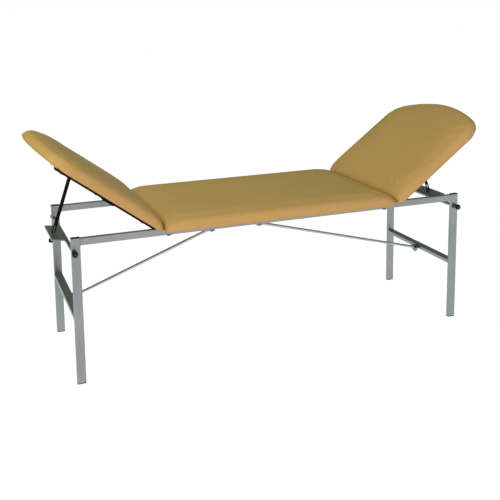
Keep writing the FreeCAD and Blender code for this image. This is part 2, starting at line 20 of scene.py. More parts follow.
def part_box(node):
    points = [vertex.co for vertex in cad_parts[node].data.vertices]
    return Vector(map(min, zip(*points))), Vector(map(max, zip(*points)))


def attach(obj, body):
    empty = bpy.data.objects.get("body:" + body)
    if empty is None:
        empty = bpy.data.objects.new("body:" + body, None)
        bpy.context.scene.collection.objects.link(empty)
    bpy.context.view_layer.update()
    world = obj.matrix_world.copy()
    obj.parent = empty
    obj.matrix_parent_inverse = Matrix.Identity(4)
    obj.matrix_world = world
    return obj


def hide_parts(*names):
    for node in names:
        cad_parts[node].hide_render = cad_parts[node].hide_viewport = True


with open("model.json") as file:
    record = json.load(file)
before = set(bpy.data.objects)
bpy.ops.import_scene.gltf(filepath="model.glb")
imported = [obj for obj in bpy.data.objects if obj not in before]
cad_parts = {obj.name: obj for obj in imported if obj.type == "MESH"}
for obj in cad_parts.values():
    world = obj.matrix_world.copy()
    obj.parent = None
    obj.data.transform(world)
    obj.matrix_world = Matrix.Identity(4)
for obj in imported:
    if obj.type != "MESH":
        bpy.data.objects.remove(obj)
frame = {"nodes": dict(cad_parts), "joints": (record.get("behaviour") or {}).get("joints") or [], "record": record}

log = logging.getLogger("table")
MM = 0.001
Tone = tuple[int, int, int]
Pair = tuple[float, float]
Triple = tuple[float, float, float]
Place = tuple[Vector, Vector]
Socket = bpy.types.NodeSocket
Feeds = dict[int | str, object]


def written(tone: Tone) -> tuple[float, ...]:
    """Linear colour and full cover of a tone written as display values from 0 to 255."""
    values = []
    for channel in tone:
        share = channel / 255
        values.append(share / 12.92 if share <= 0.04045 else ((share + 0.055) / 1.055) ** 2.4)
    return (*values, 1.0)


class End(Enum):
    """The two ends of the table, and the side of the origin each lies on."""

    LEFT = -1
    RIGHT = 1

    @property
    def word(self) -> str:
        """The word that ends the names of this end's nodes and bodies."""
        return self.name.lower()


class Tree:
    """A node tree, with short ways to add and join nodes."""

    def __init__(self, tree: bpy.types.NodeTree) -> None:
        """Keep the tree and clear it."""
        self.tree = tree
        self.tree.nodes.clear()

    def add(self, kind: str, feeds: Feeds | None = None, **settings: object) -> bpy.types.Node:
        """Add a node.

        Args:
            kind: The node's type name.
            feeds: What each input gets, by its name or number: a socket, a list of sockets or a plain value.
            **settings: Properties to set on the node.

        Returns:
            The node.
        """
        node = self.tree.nodes.new(kind)
        for name, value in settings.items():
            setattr(node, name, value)
        for key, value in (feeds or {}).items():
            self._feed(node.inputs[key], value)
        return node

    def _feed(self, target: Socket, value: object) -> None:
        """Link what feeds an input, or set its plain value."""
        if isinstance(value, Socket):
            self.tree.links.new(value, target)
        elif isinstance(value, list):
            for source in value:
                self.tree.links.new(source, target)
        else:
            target.default_value = value

    def maths(self, operation: str, *values: object) -> Socket:
        """Result of a math node whose inputs are sockets or numbers."""
        return self.add("ShaderNodeMath", dict(enumerate(values)), operation=operation).outputs[0]

    def times(self, value: object, factor: object) -> Socket:
        """Product of two sockets, or of a socket and a number."""
        return self.maths("MULTIPLY", value, factor)

    def mix(self, share: object, first: object, second: object, blend_type: str = "MIX") -> Socket:
        """Colour between two others."""
        feeds = {"Factor": share, 6: first, 7: second}
        return self.add("ShaderNodeMix", feeds, data_type="RGBA", blend_type=blend_type).outputs[2]

    def blend(self, share: Socket, first: Socket, second: Socket) -> Socket:
        """Shader between two others."""
        return self.add("ShaderNodeMixShader", {0: share, 1: first, 2: second}).outputs[0]

    def ramp(self, share: Socket, *stops: tuple[float, Triple]) -> Socket:
        """Colour from a ramp of two stops, each a position and its colour."""
        node = self.add("ShaderNodeValToRGB", {"Fac": share})
        for element, (position, colour) in zip(node.color_ramp.elements, stops):
            element.position = position
            element.color = (*colour, 1)
        return node.outputs["Color"]


@dataclass(frozen=True)
class EffectGroups:
    """Shader groups that more than one finish uses."""

    grain: bpy.types.NodeTree
    drift: bpy.types.NodeTree
    rub: bpy.types.NodeTree

    @classmethod
    def build(cls) -> "EffectGroups":
        """Make the three groups."""
        return cls(cls._grain(), cls._drift(), cls._rub())

    @staticmethod
    def _start(name: str, inputs: dict[str, tuple[str, object]], outputs: dict[str, str]) -> Tree:
        """Make an empty group with its sockets.

        Args:
            name: The group's name.
            inputs: For each input, its kind of socket and its default.
            outputs: For each output, its kind of socket.

        Returns:
            The group's tree.
        """
        tree = bpy.data.node_groups.new(name, "ShaderNodeTree")
        for title, (kind, default) in inputs.items():
            socket = tree.interface.new_socket(title, in_out="INPUT", socket_type=f"NodeSocket{kind}")
            socket.default_value = default
        for title, kind in outputs.items():
            tree.interface.new_socket(title, in_out="OUTPUT", socket_type=f"NodeSocket{kind}")
        return Tree(tree)

    @staticmethod
    def _grain() -> bpy.types.NodeTree:
        """Small cells and pores: a height from about 0 to 1 and a mask of the hollows between the cells."""
        inputs = {"Cells per metre": ("Float", 900.0), "Roughen": ("Float", 0.5)}
        shader = EffectGroups._start("surface_grain", inputs, {"Height": "Float", "Hollows": "Float"})
        start = shader.add("NodeGroupInput").outputs
        place = shader.add("ShaderNodeTexCoord").outputs["Object"]
        feeds = {"Vector": place, "Scale": start["Cells per metre"]}
        cells = shader.add("ShaderNodeTexVoronoi", feeds, feature="DISTANCE_TO_EDGE")
        noise = shader.add("ShaderNodeTexNoise", {**feeds, "Detail": 4.0})
        rise = shader.times(cells.outputs["Distance"], 2.4)
        uneven = shader.times(noise.outputs["Fac"], start["Roughen"])
        height = shader.maths("ADD", rise, uneven)
        shader.add("NodeGroupOutput", {"Height": height, "Hollows": shader.maths("SUBTRACT", 1.0, rise)})
        return shader.tree

    @staticmethod
    def _drift() -> bpy.types.NodeTree:
        """A colour that wanders slowly between two tones over the surface."""
        inputs = {
            "Light tone": ("Color", (1, 1, 1, 1)),
            "Dark tone": ("Color", (0.5, 0.5, 0.5, 1)),
            "Patches per metre": ("Float", 4.0),
            "Stretch": ("Vector", (1, 1, 1)),
        }
        shader = EffectGroups._start("tone_drift", inputs, {"Colour": "Color", "Mask": "Float"})
        start = shader.add("NodeGroupInput").outputs
        place = shader.add("ShaderNodeTexCoord").outputs["Object"]
        mapping = shader.add("ShaderNodeMapping", {"Vector": place, "Scale": start["Stretch"]})
        feeds = {"Vector": mapping.outputs["Vector"], "Scale": start["Patches per metre"], "Detail": 5.0}
        noise = shader.add("ShaderNodeTexNoise", feeds)
        mask = shader.times(shader.maths("SUBTRACT", noise.outputs["Fac"], 0.3), 2.2)
        colour = shader.mix(mask, start["Light tone"], start["Dark tone"])
        shader.add("NodeGroupOutput", {"Colour": colour, "Mask": mask})
        return shader.tree

    @staticmethod
    def _rub() -> bpy.types.NodeTree:
        """A mask of the corners, broken up by noise, where a finish is made lighter: partly wear that hands and
        cloths rub, partly a painted highlight along the edges.
        """
        inputs = {"Width": ("Float", 0.0015), "Amount": ("Float", 1.0)}
        shader = EffectGroups._start("corner_rub", inputs, {"Mask": "Float"})
        start = shader.add("NodeGroupInput").outputs
        place = shader.add("ShaderNodeTexCoord").outputs["Object"]
        bevel = shader.add("ShaderNodeBevel", {"Radius": start["Width"]}, samples=4)
        surface = shader.add("ShaderNodeNewGeometry")
        feeds = {0: bevel.outputs["Normal"], 1: surface.outputs["Normal"]}
        turn = shader.add("ShaderNodeVectorMath", feeds, operation="DOT_PRODUCT").outputs["Value"]
        noise = shader.add("ShaderNodeTexNoise", {"Vector": place, "Scale": 60.0})
        edge = shader.times(shader.maths("SUBTRACT", 1.0, turn), 4.0)
        amount = shader.times(shader.times(edge, noise.outputs["Fac"]), start["Amount"])
        shader.add("NodeGroupOutput", {"Mask": shader.maths("MINIMUM", amount, 1.0)})
        return shader.tree


@dataclass(frozen=True)
class Finish:
    """What a finish is made from."""

    name: str
    light: Tone
    dark: Tone
    metallic: float
    roughness: float
    roughness_spread: float
    cells_per_metre: float
    grain_depth: float
    patches_per_metre: float = 4.0
    stretch: Triple = (1.0, 1.0, 1.0)
    # How much the corners are lightened, and to what tone: partly wear, partly a painted highlight along the
    # edges.
    rub_amount: float = 0.0
    rub_tone: Tone = (255, 255, 255)
    hollow_shade: float = 0.0
    hollow_tone: Triple = (0.6, 0.55, 0.5)
    specular: float = 0.5

    def build(self, groups: EffectGroups) -> bpy.types.Material:
        """Make the material out of the shared groups."""
        material = bpy.data.materials.new(self.name)
        material.use_nodes = True
        shader = Tree(material.node_tree)
        feeds = {"Light tone": written(self.light), "Dark tone": written(self.dark),
                 "Patches per metre": self.patches_per_metre, "Stretch": self.stretch}
        drift = shader.add("ShaderNodeGroup", feeds, node_tree=groups.drift).outputs
        feeds = {"Cells per metre": self.cells_per_metre}
        grain = shader.add("ShaderNodeGroup", feeds, node_tree=groups.grain).outputs
        colour = drift["Colour"]
        if self.hollow_shade > 0:
            shade = shader.times(grain["Hollows"], self.hollow_shade)
            colour = shader.mix(shade, colour, (*self.hollow_tone, 1), "MULTIPLY")
        # Lighter corners: partly wear, partly a painted highlight along the edges.
        if self.rub_amount > 0:
            rub = shader.add("ShaderNodeGroup", {"Amount": self.rub_amount}, node_tree=groups.rub)
            colour = shader.mix(rub.outputs["Mask"], colour, written(self.rub_tone))
        rough = shader.maths("ADD", shader.times(drift["Mask"], self.roughness_spread), self.roughness)
        feeds = {"Strength": 0.6, "Distance": self.grain_depth, "Height": grain["Height"]}
        bump = shader.add("ShaderNodeBump", feeds)
        surface = shader.add("ShaderNodeBsdfPrincipled", {
            "Base Color": colour, "Metallic": self.metallic, "Specular IOR Level": self.specular,
            "Roughness": rough, "Normal": bump.outputs["Normal"],
        })
        shader.add("ShaderNodeOutputMaterial", {"Surface": surface.outputs["BSDF"]})
        return material


class Look(Enum):
    """The finishes on the table."""

    VINYL = Finish("caramel_vinyl", (182, 147, 86), (175, 140, 81), 0.0, 0.55, 0.06, 950.0, 0.10 * MM,
                   patches_per_metre=3.0, hollow_shade=0.2, specular=0.25)
    # The silver paint's corners are lighter: partly wear, partly a painted highlight along the edges.
    PAINT = Finish("silver_paint", (167, 170, 170), (155, 159, 159), 0.9, 0.27, 0.08, 450.0, 0.03 * MM,
                   patches_per_metre=6.0, rub_amount=0.2, rub_tone=(215, 218, 218))
    # The black paint's corners are lighter: partly wear, partly a painted highlight along the edges.
    BLACK_PAINT = Finish("black_paint", (13, 12, 10), (8, 8, 7), 0.0, 0.55, 0.1, 600.0, 0.04 * MM,
                         rub_amount=0.15, rub_tone=(45, 45, 45), specular=0.15)
    PLASTIC = Finish("black_plastic", (24, 26, 30), (17, 19, 22), 0.0, 0.42, 0.1, 1500.0, 0.05 * MM,
                     specular=0.4)
    ZINC = Finish("zinc_steel", (170, 173, 176), (138, 142, 146), 1.0, 0.32, 0.15, 900.0, 0.03 * MM,
                  patches_per_metre=40.0)
    BRACE_ZINC = Finish("brace_zinc", (205, 209, 208), (185, 190, 188), 0.95, 0.3, 0.1, 900.0, 0.03 * MM,
                        patches_per_metre=20.0)
    DARK_STEEL = Finish("dark_steel", (92, 96, 100), (62, 66, 70), 1.0, 0.4, 0.12, 900.0, 0.03 * MM,
                        patches_per_metre=40.0)
    PLYWOOD = Finish("birch_plywood", (192, 162, 120), (170, 137, 96), 0.0, 0.6, 0.15, 700.0, 0.1 * MM,
                     patches_per_metre=14.0, stretch=(0.6, 9.0, 9.0))
    STAPLE = Finish("staple_wire", (196, 198, 200), (170, 172, 174), 1.0, 0.3, 0.1, 2000.0, 0.02 * MM)


class Finishes:
    """The materials of every finish."""

    by_slot = {
        "frame_paint": Look.PAINT,
        "black_paint": Look.BLACK_PAINT,
        "black_plastic": Look.PLASTIC,
        "zinc_steel": Look.ZINC,
        "vinyl": Look.VINYL,
        "plywood": Look.PLYWOOD,
    }
    own = {
        "brace_left": Look.BRACE_ZINC,
        "brace_right": Look.BRACE_ZINC,
        "lock_axles_left": Look.DARK_STEEL,
        "lock_axles_right": Look.DARK_STEEL,
    }

    def __init__(self) -> None:
        """Make the materials."""
        groups = EffectGroups.build()
        self._materials = {look: look.value.build(groups) for look in Look}

    def of(self, look: Look) -> bpy.types.Material:
        """The material of a look."""
        return self._materials[look]

    def dress_nodes(self) -> None:
        """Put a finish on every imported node."""
        slots = {row["node"]: row["material_slot"] for row in frame["record"]["subparts"]}
        for name, node in frame["nodes"].items():
            look = self.own.get(name, self.by_slot[slots[name]])
            node.data.materials.clear()
            node.data.materials.append(self.of(look))


def linked(name: str, mesh: bpy.types.Mesh, material: bpy.types.Material | None = None) -> bpy.types.Object:
    """Put a mesh in the scene as a named object, with its finish if the mesh has none yet."""
    piece = bpy.data.objects.new(name, mesh)
    bpy.context.scene.collection.objects.link(piece)
    if material is not None:
        mesh.materials.clear()
        mesh.materials.append(material)
    return piece


def applied(piece: bpy.types.Object, modifier: bpy.types.Modifier) -> bpy.types.Mesh:
    """Plain mesh of what a modifier makes, once the modifier is removed."""
    graph = bpy.context.evaluated_depsgraph_get()
    mesh = bpy.data.meshes.new_from_object(piece.evaluated_get(graph))
    piece.modifiers.remove(modifier)
    return mesh


def outward(mesh: bpy.types.Mesh) -> None:
    """Turn all faces of a closed mesh outward."""
    work = bmesh.new()
    work.from_mesh(mesh)
    bmesh.ops.recalc_face_normals(work, faces=work.faces)
    work.to_mesh(mesh)
    work.free()


def smooth(mesh: bpy.types.Mesh) -> bpy.types.Mesh:
    """The same mesh with smooth shading."""
    for polygon in mesh.polygons:
        polygon.use_smooth = True
    return mesh


def placed(mesh: bpy.types.Mesh, place: Matrix) -> None:
    """Move a mesh to its place, with its faces still outward where the place is mirrored."""
    mesh.transform(place)
    if place.determinant() < 0:
        mesh.flip_normals()


def path_carrier(paths: list[list[Vector]], facing: list[Vector] | None = None,
                 closed: bool = False) -> bpy.types.Object:
    """A mesh of bare points and edges for a tree to read.

    Args:
        paths: The points of each path.
        facing: The way each point faces, where the tree asks for it.
        closed: Whether each path returns to its start.

    Returns:
        The object.
    """
    points: list[Vector] = []
    edges: list[tuple[int, int]] = []
    for path in paths:
        first = len(points)
        points.extend(path)
        edges.extend((first + i, first + i + 1) for i in range(len(path) - 1))
        if closed:
            edges.append((len(points) - 1, first))
    mesh = bpy.data.meshes.new("carrier")
    mesh.from_pydata([tuple(point) for point in points], edges, [])
    if facing:
        ways = mesh.attributes.new("facing", "FLOAT_VECTOR", "POINT")
        for item, way in zip(ways.data, facing):
            item.vector = way.normalized()
    return linked("carrier", mesh)


def point_carrier(places: list[Place]) -> bpy.types.Object:
    """A mesh of single points, each with the way it faces."""
    return path_carrier([[foot] for foot, _ in places], [way for _, way in places])


class Repeats(Tree):
    """A Geometry Nodes tree that repeats a small shape, with named inputs for its sizes."""

    def __init__(self, name: str, **sizes: float) -> None:
        """Start the tree.

        Args:
            name: The tree's name.
            **sizes: The default of each named size.
        """
        super().__init__(bpy.data.node_groups.new(name, "GeometryNodeTree"))
        sockets = self.tree.interface
        sockets.new_socket("Geometry", in_out="INPUT", socket_type="NodeSocketGeometry")
        self._identifiers: dict[str, str] = {}
        for size, value in sizes.items():
            socket = sockets.new_socket(self._title(size), in_out="INPUT", socket_type="NodeSocketFloat")
            socket.default_value = value
            self._identifiers[size] = socket.identifier
        sockets.new_socket("Geometry", in_out="OUTPUT", socket_type="NodeSocketGeometry")
        self._start = self.add("NodeGroupInput").outputs

    @staticmethod
    def _title(size: str) -> str:
        """A size's name in plain words."""
        return size.replace("_", " ").capitalize()

    def size(self, name: str) -> Socket:
        """The named size as a socket."""
        return self._start[self._title(name)]

    def vector(self, x: object, y: object, z: object) -> Socket:
        """Three numbers or sockets as a vector."""
        return self.add("ShaderNodeCombineXYZ", {0: x, 1: y, 2: z}).outputs[0]

    def raised(self, shape: Socket, height: object) -> Socket:
        """A shape moved up."""
        feeds = {"Geometry": shape, "Translation": self.vector(0.0, 0.0, height)}
        return self.add("GeometryNodeTransform", feeds).outputs["Geometry"]

    def block(self, x: object, y: object, z: object) -> Socket:
        """A block about the origin."""
        return self.add("GeometryNodeMeshCube", {"Size": self.vector(x, y, z)}).outputs["Mesh"]

    def bar(self, sides: int, radius: object, length: object) -> Socket:
        """An upright bar about the origin."""
        feeds = {"Vertices": sides, "Radius": radius, "Depth": length}
        return self.add("GeometryNodeMeshCylinder", feeds).outputs["Mesh"]

    def cone(self, sides: int, low: object, high: object, length: object) -> Socket:
        """A cut cone that stands on the origin, given by its lower and upper radius."""
        feeds = {"Vertices": sides, "Radius Bottom": low, "Radius Top": high, "Depth": length}
        return self.add("GeometryNodeMeshCone", feeds).outputs["Mesh"]

    def shank(self, sides: int) -> Socket:
        """The bar behind a head, down from the origin."""
        length = self.size("shank_length")
        return self.raised(self.bar(sides, self.size("shank_radius"), length), self.times(length, -0.5))

    def combined(self, operation: str, *shapes: Socket) -> Socket:
        """Union or intersection of shapes."""
        feeds = {"Mesh 2": list(shapes)}
        return self.add("GeometryNodeMeshBoolean", feeds, operation=operation).outputs["Mesh"]

    def joined(self, *shapes: Socket) -> Socket:
        """Shapes side by side in one mesh."""
        return self.add("GeometryNodeJoinGeometry", {"Geometry": list(shapes)}).outputs["Geometry"]

    def path(self, step: Socket) -> Socket:
        """The carrier's paths, with a point at each step."""
        curve = self.add("GeometryNodeMeshToCurve", {"Mesh": self._start["Geometry"]})
        feeds = {"Curve": curve.outputs["Curve"], "Length": step}
        return self.add("GeometryNodeResampleCurve", feeds, mode="LENGTH").outputs["Curve"]

    def upright(self) -> Socket:
        """Rotation that stands a shape along its point's facing direction."""
        facing = self.add("GeometryNodeInputNamedAttribute", {"Name": "facing"}, data_type="FLOAT_VECTOR")
        feeds = {"Vector": facing.outputs["Attribute"]}
        return self.add("FunctionNodeAlignRotationToVector", feeds, axis="Z").outputs["Rotation"]

    def on_points(self, shape: Socket, points: Socket | None = None,
                  rotation: Socket | None = None) -> Socket:
        """A shape on each point, by default upright on each point of the carrier."""
        feeds = {"Points": points or self._start["Geometry"], "Instance": shape,
                 "Rotation": rotation or self.upright()}
        return self.add("GeometryNodeInstanceOnPoints", feeds).outputs["Instances"]

    def finish(self, shape: Socket, material: bpy.types.Material) -> "Repeats":
        """End the tree with a shape, in Realize Instances and Set Material."""
        real = self.add("GeometryNodeRealizeInstances", {"Geometry": shape})
        feeds = {"Geometry": real.outputs["Geometry"], "Material": material}
        paint = self.add("GeometryNodeSetMaterial", feeds)
        self.add("NodeGroupOutput", {"Geometry": paint.outputs["Geometry"]})
        return self

    def run(self, carrier: bpy.types.Object, name: str, **sizes: float) -> bpy.types.Object:
        """Run the tree on a carrier and keep the result as a plain mesh.

        Args:
            carrier: The object whose points or edges the tree reads. It is removed.
            name: The name of the new piece.
            **sizes: Values for the named sizes.

        Returns:
            The new piece.
        """
        modifier = carrier.modifiers.new("repeats", "NODES")
        modifier.node_group = self.tree
        for size, value in sizes.items():
            modifier[self._identifiers[size]] = float(value)
        mesh = applied(carrier, modifier)
        bpy.data.objects.remove(carrier)
        mesh.name = name
        return linked(name, mesh)


@dataclass(frozen=True)
class Turned:
    """A turned shape: its profile as radius and height pairs, with or without flutes round its rim."""

    profile: list[Pair]
    sides: int = 48
    flutes: int = 0
    flute_depth: float = 0.0
    fluted_beyond: float = 0.0

    def mesh(self, name: str, places: list[Place]) -> bpy.types.Mesh:
        """Stand the shape on each place.

        Args:
            name: The mesh's name.
            places: The foot of each shape, and the direction it stands along.

        Returns:
            One closed, smooth mesh of them all.
        """
        vertices: list[Vector] = []
        faces: list[tuple[int, ...]] = []
        for foot, direction in places:
            self._stand(vertices, faces, foot, direction.normalized())
        mesh = bpy.data.meshes.new(name)
        mesh.from_pydata([tuple(vertex) for vertex in vertices], [], faces)
        outward(mesh)
        return smooth(mesh)

    def _stand(self, vertices: list[Vector], faces: list[tuple[int, ...]], foot: Vector, up: Vector) -> None:
        """Add one shape's points and faces."""
        side_way = up.orthogonal().normalized()
        other_way = up.cross(side_way)
        first = len(vertices)
        for out, rise in self.profile:
            for side in range(self.sides):
                turn = math.tau * side / self.sides
                reach = out
                if self.flutes and out > self.fluted_beyond:
                    reach -= self.flute_depth * (0.5 + 0.5 * math.cos(self.flutes * turn)) ** 2
                around = side_way * math.cos(turn) + other_way * math.sin(turn)
                vertices.append(foot + up * rise + around * reach)
        for level in range(len(self.profile) - 1):
            low = first + level * self.sides
            high = low + self.sides
            for side in range(self.sides):
                following = (side + 1) % self.sides
                faces.append((low + side, low + following, high + following, high + side))
        faces.append(tuple(range(first, first + self.sides))[::-1])
        faces.append(tuple(range(len(vertices) - self.sides, len(vertices))))


@dataclass
class Fasteners:
    """Trees of the screws, bolts, staples and weld beads. A share is one of the head's own size."""

    finishes: Finishes
    rim_height_share: float = 0.6
    shoulder_share: float = 0.92
    flat_share: float = 0.6
    recess_share: float = 1.1
    recess_height_share: float = 1.05
    chamfer_top_share: float = 0.48
    chamfer_foot_share: float = 1.2
    washer_thick: float = 0.8 * MM

    def __post_init__(self) -> None:
        """Make the trees."""
        self.screw: Repeats = self._screw_tree()
        self.bolt: Repeats = self._bolt_tree()
        self.staple: Repeats = self._staple_tree()
        self.weld: Repeats = self._weld_tree("weld_bead", Look.PAINT)
        self.strap_weld: Repeats = self._weld_tree("black_weld_bead", Look.BLACK_PAINT)

    def _screw_tree(self) -> Repeats:
        """A pan head with a cross recess, and its shank behind it."""
        tree = Repeats("pan_screws", head_radius=4.5 * MM, head_height=2.4 * MM, recess_width=1.1 * MM,
                       shank_radius=2.5 * MM, shank_length=20 * MM)
        radius = tree.size("head_radius")
        high = tree.size("head_height")
        flat = tree.times(radius, self.flat_share)
        rim_high = tree.times(high, self.rim_height_share)
        shoulder = tree.times(radius, self.shoulder_share)
        rim = tree.cone(28, radius, shoulder, rim_high)
        crown = tree.cone(28, shoulder, flat, tree.times(high, 1 - self.rim_height_share))
        head = tree.combined("UNION", rim, tree.raised(crown, rim_high))
        ways = (tree.times(radius, self.recess_share), tree.size("recess_width"))
        cutters = [tree.raised(tree.block(wide, deep, high), tree.times(high, self.recess_height_share))
                   for wide, deep in (ways, ways[::-1])]
        feeds = {"Mesh 1": head, "Mesh 2": cutters}
        recessed = tree.add("GeometryNodeMeshBoolean", feeds, operation="DIFFERENCE").outputs["Mesh"]
        whole = tree.joined(recessed, tree.shank(16))
        return tree.finish(tree.on_points(whole), self.finishes.of(Look.ZINC))

    def _bolt_tree(self) -> Repeats:
        """A hexagon head, chamfered by a cone, on a washer, and its shank behind it."""
        tree = Repeats("hexagon_bolts", flats=10 * MM, head_height=4 * MM, washer_radius=6 * MM,
                       shank_radius=3 * MM, shank_length=20 * MM)
        flats = tree.size("flats")
        high = tree.size("head_height")
        prism = tree.bar(6, tree.maths("DIVIDE", flats, math.sqrt(3)), high)
        foot = tree.times(flats, self.chamfer_foot_share)
        cone = tree.cone(36, foot, tree.times(flats, self.chamfer_top_share), high)
        head = tree.combined("INTERSECT", tree.raised(prism, tree.times(high, 0.5)), cone)
        plate = tree.bar(32, tree.size("washer_radius"), self.washer_thick)
        washer = tree.raised(plate, self.washer_thick / 2)
        whole = tree.joined(head, washer, tree.shank(18))
        return tree.finish(tree.on_points(whole), self.finishes.of(Look.ZINC))

    def _staple_tree(self) -> Repeats:
        """Wire staples set along a path, each turned a little at random."""
        tree = Repeats("wire_staples", spacing=45 * MM, crown=10 * MM, wire=0.6 * MM, turn=0.12)
        turn = tree.size("turn")
        wire = tree.size("wire")
        feeds = {2: tree.times(turn, -1.0), 3: turn, "Seed": 7}
        wander = tree.add("FunctionNodeRandomValue", feeds, data_type="FLOAT").outputs[1]
        tangent = tree.add("GeometryNodeInputTangent").outputs["Tangent"]
        feeds = {"Rotation": tree.upright(), "Vector": tangent}
        along = tree.add("FunctionNodeAlignRotationToVector", feeds, axis="X", pivot_axis="Z")
        feeds = {"Rotation": along.outputs["Rotation"], "Rotate By": tree.vector(0.0, 0.0, wander)}
        turned = tree.add("FunctionNodeRotateRotation", feeds, rotation_space="LOCAL").outputs["Rotation"]
        shape = tree.block(tree.size("crown"), wire, wire)
        stood = tree.on_points(shape, tree.path(tree.size("spacing")), turned)
        return tree.finish(stood, self.finishes.of(Look.STAPLE))

    def _weld_tree(self, name: str, look: Look) -> Repeats:
        """A rippled bead along each path, in the given finish."""
        tree = Repeats(name, bead_radius=1.6 * MM, ripple=2.2 * MM, depth=0.22)
        ripple = tree.size("ripple")
        path = tree.path(tree.times(ripple, 0.25))
        reached = tree.add("GeometryNodeSplineParameter").outputs["Length"]
        wave = tree.maths("SINE", tree.times(tree.maths("DIVIDE", reached, ripple), math.tau))
        swell = tree.maths("ADD", tree.times(wave, tree.times(tree.size("depth"), 0.5)), 1.0)
        wide = tree.add("GeometryNodeSetCurveRadius", {"Curve": path, "Radius": swell})
        feeds = {"Resolution": 8, "Radius": tree.size("bead_radius")}
        profile = tree.add("GeometryNodeCurvePrimitiveCircle", feeds, mode="RADIUS")
        feeds = {"Curve": wide.outputs["Curve"], "Profile Curve": profile.outputs["Curve"], "Fill Caps": True}
        return tree.finish(tree.add("GeometryNodeCurveToMesh", feeds).outputs["Mesh"], self.finishes.of(look))


@dataclass
class SectionFrame:
    """Where an end section's hinge is, and how far it is raised at rest."""

    end: End
    angle: float = math.radians(36.5)

    def __post_init__(self) -> None:
        """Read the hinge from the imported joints."""
        joint = next(j for j in frame["joints"] if j["name"] == f"section_{self.end.word}_hinge")
        self.hinge: Vector = Vector(joint["pos_m"])

    def matrix(self) -> Matrix:
        """Matrix that brings a flat right-hand shape, built from the hinge, to its raised place."""
        raised = Matrix.Rotation(-self.angle, 4, "Y")
        mirror = Matrix.Diagonal((self.end.value, 1, 1, 1))
        return Matrix.Translation(self.hinge) @ mirror @ raised

    def place(self, x: float, y: float, z: float) -> Vector:
        """Model point of a place given along, across and up from the flat hinge."""
        return self.matrix() @ Vector((x, y, z))


@dataclass(frozen=True)
class SectionShape:
    """Plan sizes of an end section, measured from its hinge."""

    width: float
    start: float = 8 * MM
    length: float = 508 * MM
    end_depth: float = 146 * MM
    end_corner: float = 105 * MM


class Outline:
    """Closed plan outlines of the pads, whose points run counter-clockwise."""

    @staticmethod
    def _arc(centre: Pair, radius: float, start: float, end: float, steps: int = 8) -> list[Vector]:
        """Points of an arc between two angles in radians."""
        turns = [start + (end - start) * step / steps for step in range(steps + 1)]
        return [Vector((centre[0] + radius * math.cos(turn), centre[1] + radius * math.sin(turn)))
                for turn in turns]

    @staticmethod
    def seat(length: float, width: float, corner: float, inset: float) -> list[Vector]:
        """Rounded rectangle about the origin, set in from its full length and width."""
        half_x = length / 2 - inset - corner
        half_y = width / 2 - inset - corner
        points: list[Vector] = []
        for turn, (side_x, side_y) in enumerate(((1, 1), (-1, 1), (-1, -1), (1, -1))):
            start = turn * math.pi / 2
            points += Outline._arc((side_x * half_x, side_y * half_y), corner, start, start + math.pi / 2)
        return points

    @staticmethod
    def section(shape: SectionShape, corner: float, inset: float, reach: float) -> list[Vector]:
        """End section with small inner corners and a bowed outer end.

        Args:
            shape: The section's sizes.
            corner: Radius of the inner corners of this outline.
            inset: How far inside the outline lies.
            reach: How much further in the inner edge starts than the shape says.

        Returns:
            The outline's points.
        """
        half = shape.width / 2 - inset
        low = shape.start + inset - reach
        tip = shape.start + shape.length - inset
        depth = shape.end_depth - inset
        round_end = shape.end_corner - inset
        rise = half - round_end
        crown = (depth ** 2 + rise ** 2 - round_end ** 2) / (2 * (depth - round_end))
        centre = tip - crown
        swing = math.atan2(rise, tip - depth - centre)
        points = Outline._arc((low + corner, half - corner), corner, math.pi / 2, math.pi)
        points += Outline._arc((low + corner, corner - half), corner, math.pi, math.pi * 1.5)
        points += Outline._arc((tip - depth, -rise), round_end, -math.pi / 2, -swing, 14)
        points += Outline._arc((centre, 0), crown, -swing, swing, 24)[1:-1]
        points += Outline._arc((tip - depth, rise), round_end, swing, math.pi / 2, 14)
        return points


@dataclass(frozen=True)
class Level:
    """One level of a pad's form."""

    height: float
    inset: float
    corner: float
    reach: float = 0.0
    sag: float = 0.0


